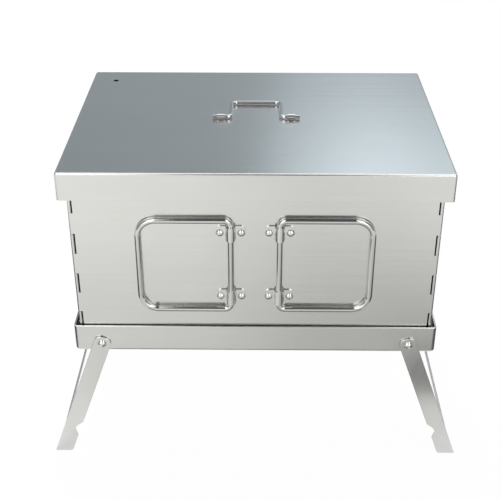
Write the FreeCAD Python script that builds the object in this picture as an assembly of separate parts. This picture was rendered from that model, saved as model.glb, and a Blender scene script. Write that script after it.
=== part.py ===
import FreeCAD, Part
import math
import os

# Knock-down tabletop smoker of folded stainless sheet and bent wire, in millimetres.
# X runs along the long side, the front faces -Y and Z is up.
# The origin is on the ground, under the middle of the tray.

V = FreeCAD.Vector
X_AXIS = V(1, 0, 0)
Y_AXIS = V(0, 1, 0)
Z_AXIS = V(0, 0, 1)

# Hood: four sheet walls, hinged together at the corners on pull-out pins
hood_length = 366.6
hood_depth = 262.4
hood_height = 206.6
wall_sheet = 0.8
knuckles_per_corner = 9
corner_pin_d = 2.0
corner_pin_fit = 0.08
knuckle_play_above = 1.1
knuckle_play_below = 0.1
notch_clearance = 1.15
roll_slit = 0.35
pin_bend_r = 2.5
pin_arm_length = 9.0
pin_foot_gap = 0.5
pin_head_gap = 0.3

# Tray: folded pan with a hemmed rim, which the hood stands in
tray_end_gap = 4.5
tray_front_gap = 2.6
tray_sheet = 1.0
tray_height = 30.9
tray_corner_r = 4.0
tray_bend_r = 2.6
hem_depth = 8.0
hem_edge_r = 0.9

# Legs: two pairs of straps, each pair joined by a crossbar near the feet
pivot_from_tray_end = 28.5
pivot_above_tray_bottom = 9.9
leg_splay_deg = 20.0
strap_width = 18.0
strap_head_reach = 7.5
strap_head_r = 7.0
strap_sheet = 1.6
strap_edge_r = 0.6
leg_tip_gap = 0.2
foot_inner_r = 4.0
foot_outer_r = 0.4
crossbar_d = 3.0
crossbar_inset = 2.34
crossbar_from_foot = 24.1
notch_from_foot = 37.9
notch_depth = 5.8
notch_upper_reach = 12.1
notch_slope_reach = 5.6
notch_slope_depth = 4.5
notch_lower_reach = 8.0
notch_lip_r = 4.0
notch_root_r = 4.5
notch_lower_lip_r = 1.5

# Rivets and washers at the leg pivots
leg_rivet_d = 5.0
leg_rivet_head_d = 9.0
leg_rivet_head_height = 2.8
leg_rivet_tail_d = 8.0
leg_rivet_tail_height = 1.2
leg_pivot_fit = 0.05
leg_washer_d = 11.0
leg_washer_sheet = 0.6

# Wire loops on the front wall and the saddle clips that they swing in
loop_wire_d = 6.0
loop_width = 91.9
loop_height = 102.6
loop_far_bend_r = 18.0
loop_near_bend_r = 6.5
loop_axis_spacing = 48.6
loop_above_middle = -0.7
loop_wall_gap = 0.3
loop_fit = 0.08
clip_inset = 14.4
clip_sheet = 1.5
clip_height = 15.2
clip_reach = 14.7
clip_end_r = 5.0
clip_root_r = 0.8
clip_rivet_offset = 10.65
clip_rivet_d = 4.0
clip_rivet_head_d = 8.0
clip_rivet_head_height = 2.6
clip_rivet_tail_d = 7.0
clip_rivet_tail_height = 1.0
rivet_hole_fit = 0.05

# Lid with its skirt and the hole for a thermometer probe
lid_overhang = 7.9
lid_skirt = 28.9
lid_sheet = 1.0
lid_corner_r = 3.0
lid_bend_r = 2.2
probe_hole_d = 6.0
probe_hole_from_side = 27.5
probe_hole_from_back = 30.0

# Bail handle on the lid, folded flat towards the back, and its two saddle clips
bail_wire_d = 4.0
bail_bar_width = 53.0
bail_reach = 40.0
bail_overall_width = 92.6
bail_bar_bend_r = 6.0
bail_end_bend_r = 4.5
bail_axis_forward = 4.0
bail_lid_gap = 0.6
bail_fit = 0.08
bail_clip_inward = 1.55
bail_clip_width = 8.5
bail_clip_sheet = 0.8
bail_clip_wing = 4.4
bail_clip_end_r = 1.5
bail_clip_root_r = 0.5

# Racks of welded wire, stacked inside the hood on sled-shaped frames
rack_margin_side = 11.7
rack_margin_front = 12.7
rack_frame_wire_d = 4.0
rack_frame_bend_r = 12.0
rack_grid_wire_d = 2.5
rack_grid_wires = 11
rack_stiffener_d = 3.0
rack_stiffener_spacing = 160.0
rack_weld_sink = 0.5
rack_leg_pitches = 9
rack_leg_bend_r = 8.0
rack_grid_end_inset = 0.5
lower_rack_height = 67.5
upper_rack_height = 64.0
drip_rail_d = 3.0
drip_rail_height = 26.5
wire_seat_gap = 0.3

# Drip tray on the lower rack's rails, and the wood chip pan on the tray's floor
drip_tray_overlap = 4.7
drip_tray_side_gap = 3.0
drip_tray_height = 13.0
drip_tray_sheet = 0.8
drip_tray_corner_r = 8.0
drip_tray_bend_r = 2.5
chip_pan_length = 200.0
chip_pan_depth = 120.0
chip_pan_height = 18.0
chip_pan_sheet = 0.6
chip_pan_corner_r = 12.0
chip_pan_bend_r = 3.0

# Places worked out from the sizes above
splay = math.radians(leg_splay_deg)
tray_length = hood_length + 2 * (tray_end_gap + tray_sheet)
tray_depth = hood_depth + 2 * (tray_front_gap + tray_sheet)
pivot_x = tray_length / 2 - pivot_from_tray_end
strap_reach = pivot_x - leg_tip_gap
pivot_z = strap_reach * math.cos(splay) - strap_width / 2 * math.sin(splay)
tray_bottom_z = pivot_z - pivot_above_tray_bottom
floor_z = tray_bottom_z + tray_sheet
wall_top_z = floor_z + hood_height
front_face_y = -hood_depth / 2
side_face_x = hood_length / 2

knuckle_bore_r = corner_pin_d / 2 + corner_pin_fit
knuckle_r = knuckle_bore_r + wall_sheet
notch_width = 2 * knuckle_r + notch_clearance
knuckle_pitch = hood_height / knuckles_per_corner
pin_x = side_face_x - knuckle_r
pin_y = hood_depth / 2 - knuckle_r
pin_arm_z = wall_top_z - pin_head_gap - corner_pin_d / 2
pin_recess = wall_top_z - pin_arm_z + pin_bend_r

washer_face_y = tray_depth / 2 + leg_washer_sheet
strap_face_y = washer_face_y + strap_sheet

loop_axis_x = loop_axis_spacing / 2
loop_axis_y = front_face_y - loop_wall_gap - loop_wire_d / 2
rim_z = tray_bottom_z + tray_height
skirt_z = wall_top_z + lid_sheet - lid_skirt
loop_centre_z = (rim_z + skirt_z) / 2 + loop_above_middle
clip_spacing = loop_height - 2 * clip_inset

lid_length = hood_length + 2 * lid_overhang
lid_depth = hood_depth + 2 * lid_overhang
lid_top_z = wall_top_z + lid_sheet
probe_hole_x = -lid_length / 2 + probe_hole_from_side
probe_hole_y = lid_depth / 2 - probe_hole_from_back
bail_axis_y = -bail_axis_forward
bail_axis_z = lid_top_z + bail_lid_gap + bail_wire_d / 2
bail_end_straight_x = bail_bar_width / 2 + bail_end_bend_r
bail_clip_x = (bail_end_straight_x + bail_overall_width / 2) / 2 - bail_clip_inward

rack_length = hood_length - 2 * wall_sheet - 2 * rack_margin_side
rack_depth = hood_depth - 2 * wall_sheet - 2 * rack_margin_front
frame_half_x = rack_length / 2 - rack_frame_wire_d / 2
frame_half_y = rack_depth / 2 - rack_frame_wire_d / 2
grid_pitch = 2 * frame_half_y / (rack_grid_wires + 1)
rack_leg_x = frame_half_x - rack_frame_wire_d
rack_leg_y = grid_pitch * rack_leg_pitches / 2
grid_wire_rise = rack_frame_wire_d / 2 + rack_grid_wire_d / 2 - rack_weld_sink
grid_top_rise = grid_wire_rise + rack_grid_wire_d / 2
lower_base_z = floor_z + wire_seat_gap + rack_frame_wire_d / 2
lower_frame_z = floor_z + lower_rack_height
upper_base_z = lower_frame_z + grid_top_rise + wire_seat_gap + rack_frame_wire_d / 2
upper_frame_z = lower_frame_z + grid_top_rise + upper_rack_height
drip_rail_z = floor_z + drip_rail_height
drip_tray_z = drip_rail_z + drip_rail_d / 2 + wire_seat_gap
drip_tray_length = 2 * (rack_leg_x + drip_tray_overlap)
drip_tray_depth = 2 * (rack_leg_y - rack_frame_wire_d / 2 - drip_tray_side_gap)


def box(low, high):
    """Block between two opposite corners."""
    size = V(*high) - V(*low)
    return Part.makeBox(size.x, size.y, size.z, V(*low))


def union(shapes):
    """One clean solid from shapes that touch or overlap."""
    if len(shapes) == 1:
        return shapes[0]
    return shapes[0].multiFuse(shapes[1:]).removeSplitter()


def fillet(shape, radius, chosen):
    """Round the edges that the chosen test picks."""
    return shape.makeFillet(radius, [edge for edge in shape.Edges if chosen(edge)])


def runs_along(axis):
    """Test for straight edges parallel to an axis."""

    def chosen(edge):
        if not isinstance(edge.Curve, (Part.Line, Part.LineSegment)):
            return False
        return edge.tangentAt(edge.FirstParameter).cross(axis).Length < 1e-6

    return chosen


def lies_at_height(height):
    """Test for edges that lie wholly in one level plane."""

    def chosen(edge):
        bounds = edge.BoundBox
        return abs(bounds.ZMin - height) < 1e-6 and abs(bounds.ZMax - height) < 1e-6

    return chosen


def rounded_block(length, depth, low_z, high_z, corner_r):
    """Block centred on the Z axis, with its four upright edges rounded."""
    block = box((-length / 2, -depth / 2, low_z), (length / 2, depth / 2, high_z))
    return fillet(block, corner_r, runs_along(Z_AXIS))


def folded_pan(length, depth, height, sheet, corner_r, bend_r):
    """Open pan of one sheet thickness, standing on the plane at zero height."""
    outside = rounded_block(length, depth, 0, height, corner_r)
    outside = fillet(outside, bend_r, lies_at_height(0))
    inside = rounded_block(length - 2 * sheet, depth - 2 * sheet, sheet, height + sheet, corner_r - sheet)
    inside = fillet(inside, bend_r - sheet, lies_at_height(sheet))
    return outside.cut(inside)


def rounded_outline(corners, radii, plane_normal):
    """Closed flat face through the corners, each rounded to its own radius."""
    count = len(corners)
    starts = []
    edges = []
    arcs = []
    for index in range(count):
        corner = corners[index]
        towards_last = (corners[index - 1] - corner).normalize()
        towards_next = (corners[(index + 1) % count] - corner).normalize()
        half_angle = towards_last.getAngle(towards_next) / 2
        setback = radii[index] / math.tan(half_angle)
        middle = (towards_last + towards_next).normalize()
        centre = corner + middle * (radii[index] / math.sin(half_angle))
        first = corner + towards_last * setback
        last = corner + towards_next * setback
        starts.append((first, last))
        arcs.append(Part.Arc(first, centre - middle * radii[index], last).toShape())
    for index in range(count):
        edges.append(arcs[index])
        run_start = starts[index][1]
        run_end = starts[(index + 1) % count][0]
        if (run_end - run_start).Length > 1e-6:
            edges.append(Part.LineSegment(run_start, run_end).toShape())
    face = Part.Face(Part.Wire(edges))
    if face.normalAt(0, 0).dot(plane_normal) < 0:
        face.reverse()
    return face


def bent_wire(points, bends, diameter, closed=False):
    """Round wire through the points, each inner corner bent to its own centreline radius."""
    count = len(points)
    corners = range(count) if closed else range(1, count - 1)
    joins = {}
    arcs = {}
    for index, bend_r in zip(corners, bends):
        corner = points[index]
        incoming = (corner - points[index - 1]).normalize()
        outgoing = (points[(index + 1) % count] - corner).normalize()
        half_turn = incoming.getAngle(outgoing) / 2
        setback = bend_r * math.tan(half_turn)
        first = corner - incoming * setback
        last = corner + outgoing * setback
        towards_centre = (outgoing - incoming).normalize()
        middle = corner + towards_centre * (bend_r / math.cos(half_turn) - bend_r)
        joins[index] = (first, last)
        arcs[index] = Part.Arc(first, middle, last).toShape()
    path = []
    for index in range(count if closed else count - 1):
        following = (index + 1) % count
        start = joins[index][1] if index in joins else points[index]
        end = joins[following][0] if following in joins else points[following]
        if (end - start).Length > 1e-6:
            path.append(Part.LineSegment(start, end).toShape())
        if following in arcs:
            path.append(arcs[following])
    start = joins[0][1] if closed else points[0]
    section = Part.Wire(Part.makeCircle(diameter / 2, start, joins[1][0] - start))
    return Part.Wire(path).makePipeShell([section], True, False)


def straight_wire(start, end, diameter):
    """Round wire between two points."""
    run = end - start
    return Part.makeCylinder(diameter / 2, run.Length, start, run)


def dome_rivet(shank_d, head_d, head_height, grip, tail_d, tail_height):
    """Set rivet along Z, with the underside of its domed head at zero height."""
    head_r = head_d / 2
    tail_z = -grip - tail_height
    dome_r = (head_r ** 2 + head_height ** 2) / (2 * head_height)
    dome_centre_z = head_height - dome_r
    half_way = math.asin(head_r / dome_r) / 2
    on_dome = V(dome_r * math.sin(half_way), 0, dome_centre_z + dome_r * math.cos(half_way))
    corners = [
        V(0, 0, head_height),
        V(0, 0, tail_z),
        V(tail_d / 2, 0, tail_z),
        V(tail_d / 2, 0, -grip),
        V(shank_d / 2, 0, -grip),
        V(shank_d / 2, 0, 0),
        V(head_r, 0, 0),
    ]
    edges = [Part.LineSegment(a, b).toShape() for a, b in zip(corners, corners[1:])]
    edges.append(Part.Arc(corners[-1], on_dome, corners[0]).toShape())
    return Part.Face(Part.Wire(edges)).revolve(V(0, 0, 0), Z_AXIS, 360)


def saddle_clip(bore_r, sheet, axis_height, reach, width, end_r, root_r):
    """Saddle over a wire along Y, with flat wings along X lying on the plane at zero height."""
    outer_r = bore_r + sheet
    inner_arch = V(0, 0, axis_height + bore_r)
    outer_arch = V(0, 0, axis_height + outer_r)
    side = -width / 2
    left_wing = [V(-outer_r, 0, sheet), V(-reach, 0, sheet), V(-reach, 0, 0), V(-bore_r, 0, 0)]
    right_wing = [V(bore_r, 0, 0), V(reach, 0, 0), V(reach, 0, sheet), V(outer_r, 0, sheet)]
    left_points = [V(-outer_r, 0, axis_height)] + left_wing + [V(-bore_r, 0, axis_height)]
    right_points = [V(bore_r, 0, axis_height)] + right_wing + [V(outer_r, 0, axis_height)]
    edges = [Part.LineSegment(a, b).toShape() for a, b in zip(left_points, left_points[1:])]
    edges.append(Part.Arc(left_points[-1], inner_arch, right_points[0]).toShape())
    edges += [Part.LineSegment(a, b).toShape() for a, b in zip(right_points, right_points[1:])]
    edges.append(Part.Arc(right_points[-1], outer_arch, left_points[0]).toShape())
    profile = Part.Face(Part.Wire(edges))
    clip = profile.extrude(V(0, width, 0)).translated(V(0, side, 0))

    def is_wing_end(edge):
        return runs_along(Z_AXIS)(edge) and abs(abs(edge.CenterOfMass.x) - reach) < 1e-6

    def is_root(edge):
        middle = edge.CenterOfMass
        at_corner = abs(abs(middle.x) - outer_r) < 1e-6 and abs(middle.z - sheet) < 1e-6
        return runs_along(Y_AXIS)(edge) and at_corner

    return fillet(fillet(clip, end_r, is_wing_end), root_r, is_root)


def moved(shape, place, axis=None, degrees=0.0):
    """Copy of a shape turned about the origin and then moved."""
    copy = shape.copy()
    if axis is not None:
        copy.rotate(V(0, 0, 0), axis, degrees)
    copy.translate(place)
    return copy


def mirrored_x(shape):
    """Mirror image across the plane between left and right."""
    return shape.mirror(V(0, 0, 0), X_AXIS)


def mirrored_y(shape):
    """Mirror image across the plane between front and rear."""
    return shape.mirror(V(0, 0, 0), Y_AXIS)


def knuckle(wall_length, low, high):
    """One rolled knuckle with its ear, at the right end of a wall whose outer face is at y = 0."""
    centre = V(wall_length / 2 - knuckle_r, knuckle_r, low)
    ring = Part.makeCylinder(knuckle_r, high - low, centre)
    ring = ring.cut(Part.makeCylinder(knuckle_bore_r, high - low, centre))
    slit = box((centre.x - knuckle_r, wall_sheet, low), (centre.x, wall_sheet + roll_slit, high))
    ear = box((wall_length / 2 - notch_width, 0, low), (centre.x, wall_sheet, high))
    return union([ring.cut(slit), ear])


def sheet_wall(wall_length, owned, play_below, play_above, top_recess):
    """Wall standing on z = 0 with knuckles on the owned pitches at both of its ends."""
    plate_half = wall_length / 2 - notch_width
    pieces = [box((-plate_half, 0, 0), (plate_half, wall_sheet, hood_height))]
    for index in owned:
        low = index * knuckle_pitch + play_below
        high = (index + 1) * knuckle_pitch - play_above
        high = min(high, hood_height - top_recess)
        one = knuckle(wall_length, low, high)
        pieces += [one, mirrored_x(one)]
    return union(pieces)


def make_tray():
    """Tray with rounded corners, a hemmed rim and the four rivet holes of the legs."""
    pan = folded_pan(tray_length, tray_depth, tray_height, tray_sheet, tray_corner_r, tray_bend_r)
    hem_low = tray_height - hem_depth
    hem_outer_r = tray_corner_r - tray_sheet
    hem_inner_r = hem_outer_r - tray_sheet
    inset = 2 * tray_sheet
    hem = rounded_block(tray_length - inset, tray_depth - inset, hem_low, tray_height, hem_outer_r)
    clear = rounded_block(tray_length - 2 * inset, tray_depth - 2 * inset, hem_low, tray_height, hem_inner_r)
    pan = union([pan, hem.cut(clear)])
    pan = fillet(pan, hem_edge_r, lies_at_height(tray_height))
    pan.translate(V(0, 0, tray_bottom_z))
    hole_r = leg_rivet_d / 2 + rivet_hole_fit
    for x in (-pivot_x, pivot_x):
        pan = pan.cut(Part.makeCylinder(hole_r, tray_depth, V(x, -tray_depth / 2, pivot_z), Y_AXIS))
    return pan


def make_front_leg_strap():
    """Front strap of the right leg pair, splayed outwards, with its foot cut level with the ground."""
    along = V(math.sin(splay), 0, -math.cos(splay))
    inward = V(-math.cos(splay), 0, -math.sin(splay))
    pivot = V(pivot_x, -washer_face_y, pivot_z)
    half = strap_width / 2
    notch_root = half - notch_depth
    notch_slope = half - notch_slope_depth
    root_at = strap_reach - notch_from_foot
    inner_foot_at = (pivot_z - half * math.sin(splay)) / math.cos(splay)
    local = [
        (-strap_head_reach, half, strap_head_r),
        (-strap_head_reach, -half, strap_head_r),
        (strap_reach, -half, foot_outer_r),
        (inner_foot_at, half, foot_inner_r),
        (root_at + notch_lower_reach, half, notch_lower_lip_r),
        (root_at, notch_root, notch_root_r / 2),
        (root_at - notch_slope_reach, notch_slope, notch_root_r),
        (root_at - notch_upper_reach, half, notch_lip_r),
    ]
    corners = [pivot + along * a + inward * b for a, b, _ in local]
    face = rounded_outline(corners, [r for _, _, r in local], V(0, -1, 0))
    strap = face.extrude(V(0, -strap_sheet, 0))

    def is_outer_edge(edge):
        return abs(edge.BoundBox.YMin + strap_face_y) < 1e-6 and abs(edge.BoundBox.YMax + strap_face_y) < 1e-6

    strap = fillet(strap, strap_edge_r / 2, is_outer_edge)
    hole_r = leg_rivet_d / 2 + leg_pivot_fit
    return strap.cut(Part.makeCylinder(hole_r, strap_sheet, pivot, V(0, -1, 0)))


def make_right_crossbar():
    """Crossbar between the right pair's straps, just inside their outer edges."""
    along_at = strap_reach - crossbar_from_foot
    out = strap_width / 2 - crossbar_inset
    x = pivot_x + along_at * math.sin(splay) + out * math.cos(splay)
    z = pivot_z - along_at * math.cos(splay) + out * math.sin(splay)
    return straight_wire(V(x, -washer_face_y, z), V(x, washer_face_y, z), crossbar_d)


def make_leg_rivets():
    """Four dome rivets, heads outside, at the leg pivots."""
    grip = strap_sheet + leg_washer_sheet + tray_sheet
    rivet = dome_rivet(
        leg_rivet_d, leg_rivet_head_d, leg_rivet_head_height, grip, leg_rivet_tail_d, leg_rivet_tail_height
    )
    front = moved(rivet, V(pivot_x, -strap_face_y, pivot_z), X_AXIS, 90)
    pair = [front, mirrored_x(front)]
    return Part.makeCompound(pair + [mirrored_y(one) for one in pair])


def make_leg_washers():
    """Four spacing washers between the tray and the straps."""
    place = V(pivot_x, -tray_depth / 2, pivot_z)
    washer = Part.makeCylinder(leg_washer_d / 2, leg_washer_sheet, place, V(0, -1, 0))
    hole = Part.makeCylinder(leg_rivet_d / 2 + rivet_hole_fit, leg_washer_sheet, place, V(0, -1, 0))
    front = washer.cut(hole)
    pair = [front, mirrored_x(front)]
    return Part.makeCompound(pair + [mirrored_y(one) for one in pair])


def clip_heights():
    """Heights of the lower and upper saddle clips of a loop."""
    return [loop_centre_z - clip_spacing / 2, loop_centre_z + clip_spacing / 2]


def clip_rivet_places():
    """Places of the eight clip rivets on the front wall's outer face."""
    places = []
    for axis_x in (-loop_axis_x, loop_axis_x):
        for z in clip_heights():
            for offset in (-clip_rivet_offset, clip_rivet_offset):
                places.append(V(axis_x + offset, front_face_y, z))
    return places


def make_front_wall():
    """Front wall, which owns the odd knuckles and carries the loops."""
    owned = range(0, knuckles_per_corner, 2)
    wall = sheet_wall(hood_length, owned, 0, 0, pin_recess)
    wall.translate(V(0, front_face_y, floor_z))
    hole_r = clip_rivet_d / 2 + rivet_hole_fit
    holes = [Part.makeCylinder(hole_r, wall_sheet, place, Y_AXIS) for place in clip_rivet_places()]
    return wall.cut(Part.makeCompound(holes))


def make_rear_wall():
    """Rear wall, which owns the odd knuckles like the front wall."""
    owned = range(0, knuckles_per_corner, 2)
    wall = sheet_wall(hood_length, owned, 0, 0, pin_recess)
    return moved(wall, V(0, -front_face_y, floor_z), Z_AXIS, 180)


def make_left_wall():
    """Left wall, which owns the even knuckles."""
    owned = range(1, knuckles_per_corner, 2)
    wall = sheet_wall(hood_depth, owned, knuckle_play_below, knuckle_play_above, 0)
    return moved(wall, V(-side_face_x, 0, floor_z), Z_AXIS, -90)


def make_corner_pin(side, end):
    """Pull-out pin down one corner, its top bent inwards over the uppermost knuckle."""
    x = side * pin_x
    y = end * pin_y
    reach = pin_arm_length / math.sqrt(2)
    foot = V(x, y, floor_z + pin_foot_gap)
    top = V(x, y, pin_arm_z)
    tip = V(x - side * reach, y - end * reach, pin_arm_z)
    return bent_wire([foot, top, tip], [pin_bend_r], corner_pin_d)


def make_right_loop():
    """Closed wire loop that swings on its near side, right of the middle."""
    low = loop_centre_z - loop_height / 2
    high = loop_centre_z + loop_height / 2
    far_x = loop_axis_x + loop_width
    points = [
        V(loop_axis_x, loop_axis_y, low),
        V(far_x, loop_axis_y, low),
        V(far_x, loop_axis_y, high),
        V(loop_axis_x, loop_axis_y, high),
    ]
    bends = [loop_near_bend_r, loop_far_bend_r, loop_far_bend_r, loop_near_bend_r]
    return bent_wire(points, bends, loop_wire_d, closed=True)


def make_loop_clip(axis_x, z):
    """Saddle clip on the front wall, over the near side of a loop."""
    axis_height = loop_wall_gap + loop_wire_d / 2
    bore_r = loop_wire_d / 2 + loop_fit
    clip = saddle_clip(bore_r, clip_sheet, axis_height, clip_reach, clip_height, clip_end_r, clip_root_r)
    hole_r = clip_rivet_d / 2 + rivet_hole_fit
    for offset in (-clip_rivet_offset, clip_rivet_offset):
        clip = clip.cut(Part.makeCylinder(hole_r, clip_sheet, V(offset, 0, 0)))
    return moved(clip, V(axis_x, front_face_y, z), X_AXIS, 90)


def make_clip_rivets():
    """Eight dome rivets that hold the clips to the front wall."""
    rivet = dome_rivet(
        clip_rivet_d,
        clip_rivet_head_d,
        clip_rivet_head_height,
        clip_sheet + wall_sheet,
        clip_rivet_tail_d,
        clip_rivet_tail_height,
    )
    outwards = V(0, -clip_sheet, 0)
    return Part.makeCompound([moved(rivet, place + outwards, X_AXIS, 90) for place in clip_rivet_places()])


def make_lid():
    """Lid, a shallow pan turned upside down, with the probe hole near its rear left corner."""
    pan = folded_pan(lid_length, lid_depth, lid_skirt, lid_sheet, lid_corner_r, lid_bend_r)
    lid = moved(pan, V(0, 0, lid_top_z), X_AXIS, 180)
    hole = Part.makeCylinder(probe_hole_d / 2, 3 * lid_sheet, V(probe_hole_x, probe_hole_y, lid_top_z - 2 * lid_sheet))
    return lid.cut(hole)


def make_bail():
    """Bail with turned-out ends, lying back over the lid."""
    bar_x = bail_bar_width / 2
    end_x = bail_overall_width / 2
    back_y = bail_axis_y + bail_reach
    points = [
        V(-end_x, bail_axis_y, bail_axis_z),
        V(-bar_x, bail_axis_y, bail_axis_z),
        V(-bar_x, back_y, bail_axis_z),
        V(bar_x, back_y, bail_axis_z),
        V(bar_x, bail_axis_y, bail_axis_z),
        V(end_x, bail_axis_y, bail_axis_z),
    ]
    bends = [bail_end_bend_r, bail_bar_bend_r, bail_bar_bend_r, bail_end_bend_r]
    return bent_wire(points, bends, bail_wire_d)


def make_bail_clip(x):
    """Small saddle clip that holds one end of the bail to the lid."""
    bore_r = bail_wire_d / 2 + bail_fit
    reach = bore_r + bail_clip_sheet + bail_clip_wing
    clip = saddle_clip(
        bore_r,
        bail_clip_sheet,
        bail_axis_z - lid_top_z,
        reach,
        bail_clip_width,
        bail_clip_end_r,
        bail_clip_root_r,
    )
    return moved(clip, V(x, bail_axis_y, lid_top_z), Z_AXIS, 90)


def make_rack_grid(frame_z):
    """Welded grid: a wire frame, two stiffeners across it and the long food wires on top."""
    frame_corners = [
        V(-frame_half_x, -frame_half_y, frame_z),
        V(frame_half_x, -frame_half_y, frame_z),
        V(frame_half_x, frame_half_y, frame_z),
        V(-frame_half_x, frame_half_y, frame_z),
    ]
    pieces = [bent_wire(frame_corners, [rack_frame_bend_r] * 4, rack_frame_wire_d, closed=True)]
    wire_z = frame_z + grid_wire_rise
    wire_end = rack_length / 2 - rack_grid_end_inset
    for index in range(rack_grid_wires):
        y = -frame_half_y + (index + 1) * grid_pitch
        pieces.append(straight_wire(V(-wire_end, y, wire_z), V(wire_end, y, wire_z), rack_grid_wire_d))
    stiffener_z = wire_z - rack_grid_wire_d / 2 - rack_stiffener_d / 2 + rack_weld_sink
    for x in (-rack_stiffener_spacing / 2, rack_stiffener_spacing / 2):
        start = V(x, -frame_half_y, stiffener_z)
        pieces.append(straight_wire(start, V(x, frame_half_y, stiffener_z), rack_stiffener_d))
    return union(pieces)


def make_right_rack_frame(base_z, frame_z, rail_z=None):
    """Sled-shaped frame that carries a grid's right end, with a rail for the drip tray if asked."""
    top_z = frame_z + rack_frame_wire_d / 2
    points = [
        V(rack_leg_x, -rack_leg_y, top_z),
        V(rack_leg_x, -rack_leg_y, base_z),
        V(rack_leg_x, rack_leg_y, base_z),
        V(rack_leg_x, rack_leg_y, top_z),
    ]
    frame = bent_wire(points, [rack_leg_bend_r, rack_leg_bend_r], rack_frame_wire_d)
    if rail_z is None:
        return frame
    start = V(rack_leg_x, -rack_leg_y, rail_z)
    return union([frame, straight_wire(start, V(rack_leg_x, rack_leg_y, rail_z), drip_rail_d)])


def make_drip_tray():
    """Shallow pan on the lower rack's rails."""
    pan = folded_pan(
        drip_tray_length,
        drip_tray_depth,
        drip_tray_height,
        drip_tray_sheet,
        drip_tray_corner_r,
        drip_tray_bend_r,
    )
    return moved(pan, V(0, 0, drip_tray_z))


def make_chip_pan():
    """Pan for the wood chips, on the tray's floor."""
    pan = folded_pan(
        chip_pan_length, chip_pan_depth, chip_pan_height, chip_pan_sheet, chip_pan_corner_r, chip_pan_bend_r
    )
    return moved(pan, V(0, 0, floor_z))


def build():
    """Every piece by its name."""
    lower_clip_z, upper_clip_z = clip_heights()
    right_strap = make_front_leg_strap()
    right_crossbar = make_right_crossbar()
    left_wall = make_left_wall()
    right_loop = make_right_loop()
    lower_frame = make_right_rack_frame(lower_base_z, lower_frame_z, drip_rail_z)
    upper_frame = make_right_rack_frame(upper_base_z, upper_frame_z)
    return {
        "tray": make_tray(),
        "leg_rivets": make_leg_rivets(),
        "leg_washers": make_leg_washers(),
        "right_leg_front_strap": right_strap,
        "right_leg_rear_strap": mirrored_y(right_strap),
        "right_leg_crossbar": right_crossbar,
        "left_leg_front_strap": mirrored_x(right_strap),
        "left_leg_rear_strap": mirrored_x(mirrored_y(right_strap)),
        "left_leg_crossbar": mirrored_x(right_crossbar),
        "front_wall": make_front_wall(),
        "rear_wall": make_rear_wall(),
        "left_wall": left_wall,
        "right_wall": mirrored_x(left_wall),
        "corner_pin_front_left": make_corner_pin(-1, -1),
        "corner_pin_front_right": make_corner_pin(1, -1),
        "corner_pin_rear_left": make_corner_pin(-1, 1),
        "corner_pin_rear_right": make_corner_pin(1, 1),
        "right_loop": right_loop,
        "left_loop": mirrored_x(right_loop),
        "left_loop_lower_clip": make_loop_clip(-loop_axis_x, lower_clip_z),
        "left_loop_upper_clip": make_loop_clip(-loop_axis_x, upper_clip_z),
        "right_loop_lower_clip": make_loop_clip(loop_axis_x, lower_clip_z),
        "right_loop_upper_clip": make_loop_clip(loop_axis_x, upper_clip_z),
        "clip_rivets": make_clip_rivets(),
        "lid": make_lid(),
        "bail": make_bail(),
        "bail_clip_left": make_bail_clip(-bail_clip_x),
        "bail_clip_right": make_bail_clip(bail_clip_x),
        "lower_rack_grid": make_rack_grid(lower_frame_z),
        "lower_rack_right_frame": lower_frame,
        "lower_rack_left_frame": mirrored_x(lower_frame),
        "upper_rack_grid": make_rack_grid(upper_frame_z),
        "upper_rack_right_frame": upper_frame,
        "upper_rack_left_frame": mirrored_x(upper_frame),
        "drip_tray": make_drip_tray(),
        "chip_pan": make_chip_pan(),
    }


os.makedirs("parts", exist_ok=True)
pieces = build()
for name, shape in pieces.items():
    shape.exportStep(f"parts/{name}.step")
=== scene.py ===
"""Looks of a knock-down tabletop smoker of brushed sheet steel and bent wire.

The frame gives every sheet, wire and rivet at its real size and place, in metres. X runs along the
long side, the front faces -Y and Z is up. Each sub-assembly below dresses its own pieces and models
the welds that the frame leaves out. The studio then stands round the finished smoker.
"""

import logging
import math
from collections.abc import Callable
from dataclasses import dataclass, field
from enum import Enum

import bmesh
import bpy
from mathutils import Matrix, Vector


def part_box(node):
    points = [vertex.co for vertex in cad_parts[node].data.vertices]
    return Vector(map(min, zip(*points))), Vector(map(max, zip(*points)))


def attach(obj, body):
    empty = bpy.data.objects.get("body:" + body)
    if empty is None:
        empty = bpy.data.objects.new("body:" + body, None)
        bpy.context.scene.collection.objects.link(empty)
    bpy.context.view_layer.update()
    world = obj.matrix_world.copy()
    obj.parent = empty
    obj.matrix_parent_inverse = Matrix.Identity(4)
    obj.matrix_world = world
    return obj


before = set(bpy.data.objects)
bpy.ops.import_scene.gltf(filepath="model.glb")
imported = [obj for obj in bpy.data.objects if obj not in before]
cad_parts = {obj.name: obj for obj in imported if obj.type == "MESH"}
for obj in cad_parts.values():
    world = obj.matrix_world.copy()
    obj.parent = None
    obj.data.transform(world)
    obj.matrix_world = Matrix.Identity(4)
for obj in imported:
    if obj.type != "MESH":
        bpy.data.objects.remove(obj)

LOG = logging.getLogger("smoker")
MM = 0.001
QUARTER_TURN = math.pi / 2

Colour = tuple[float, float, float]
Ends = tuple[float, float]
Place = tuple[float, float, float]
Socket = bpy.types.NodeSocket

WHITE: Colour = (1.0, 1.0, 1.0)
FULL: Ends = (0.0, 1.0)


class Grain(Enum):
    """Which way the brushing of a sheet runs, in the part's own axes."""

    ALONG_X = "x"
    ALONG_Y = "y"
    ALONG_Z = "z"


class Fold(Enum):
    """Whether a sheet is flat or a pan whose ends are folded up or down from it."""

    FLAT = "flat"
    PAN = "pan"


class Side(Enum):
    """Left or right of the smoker's middle, as seen from the front."""

    LEFT = -1
    RIGHT = 1

    @property
    def word(self) -> str:
        """The side's word in the names of the pieces."""
        return self.name.lower()


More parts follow.
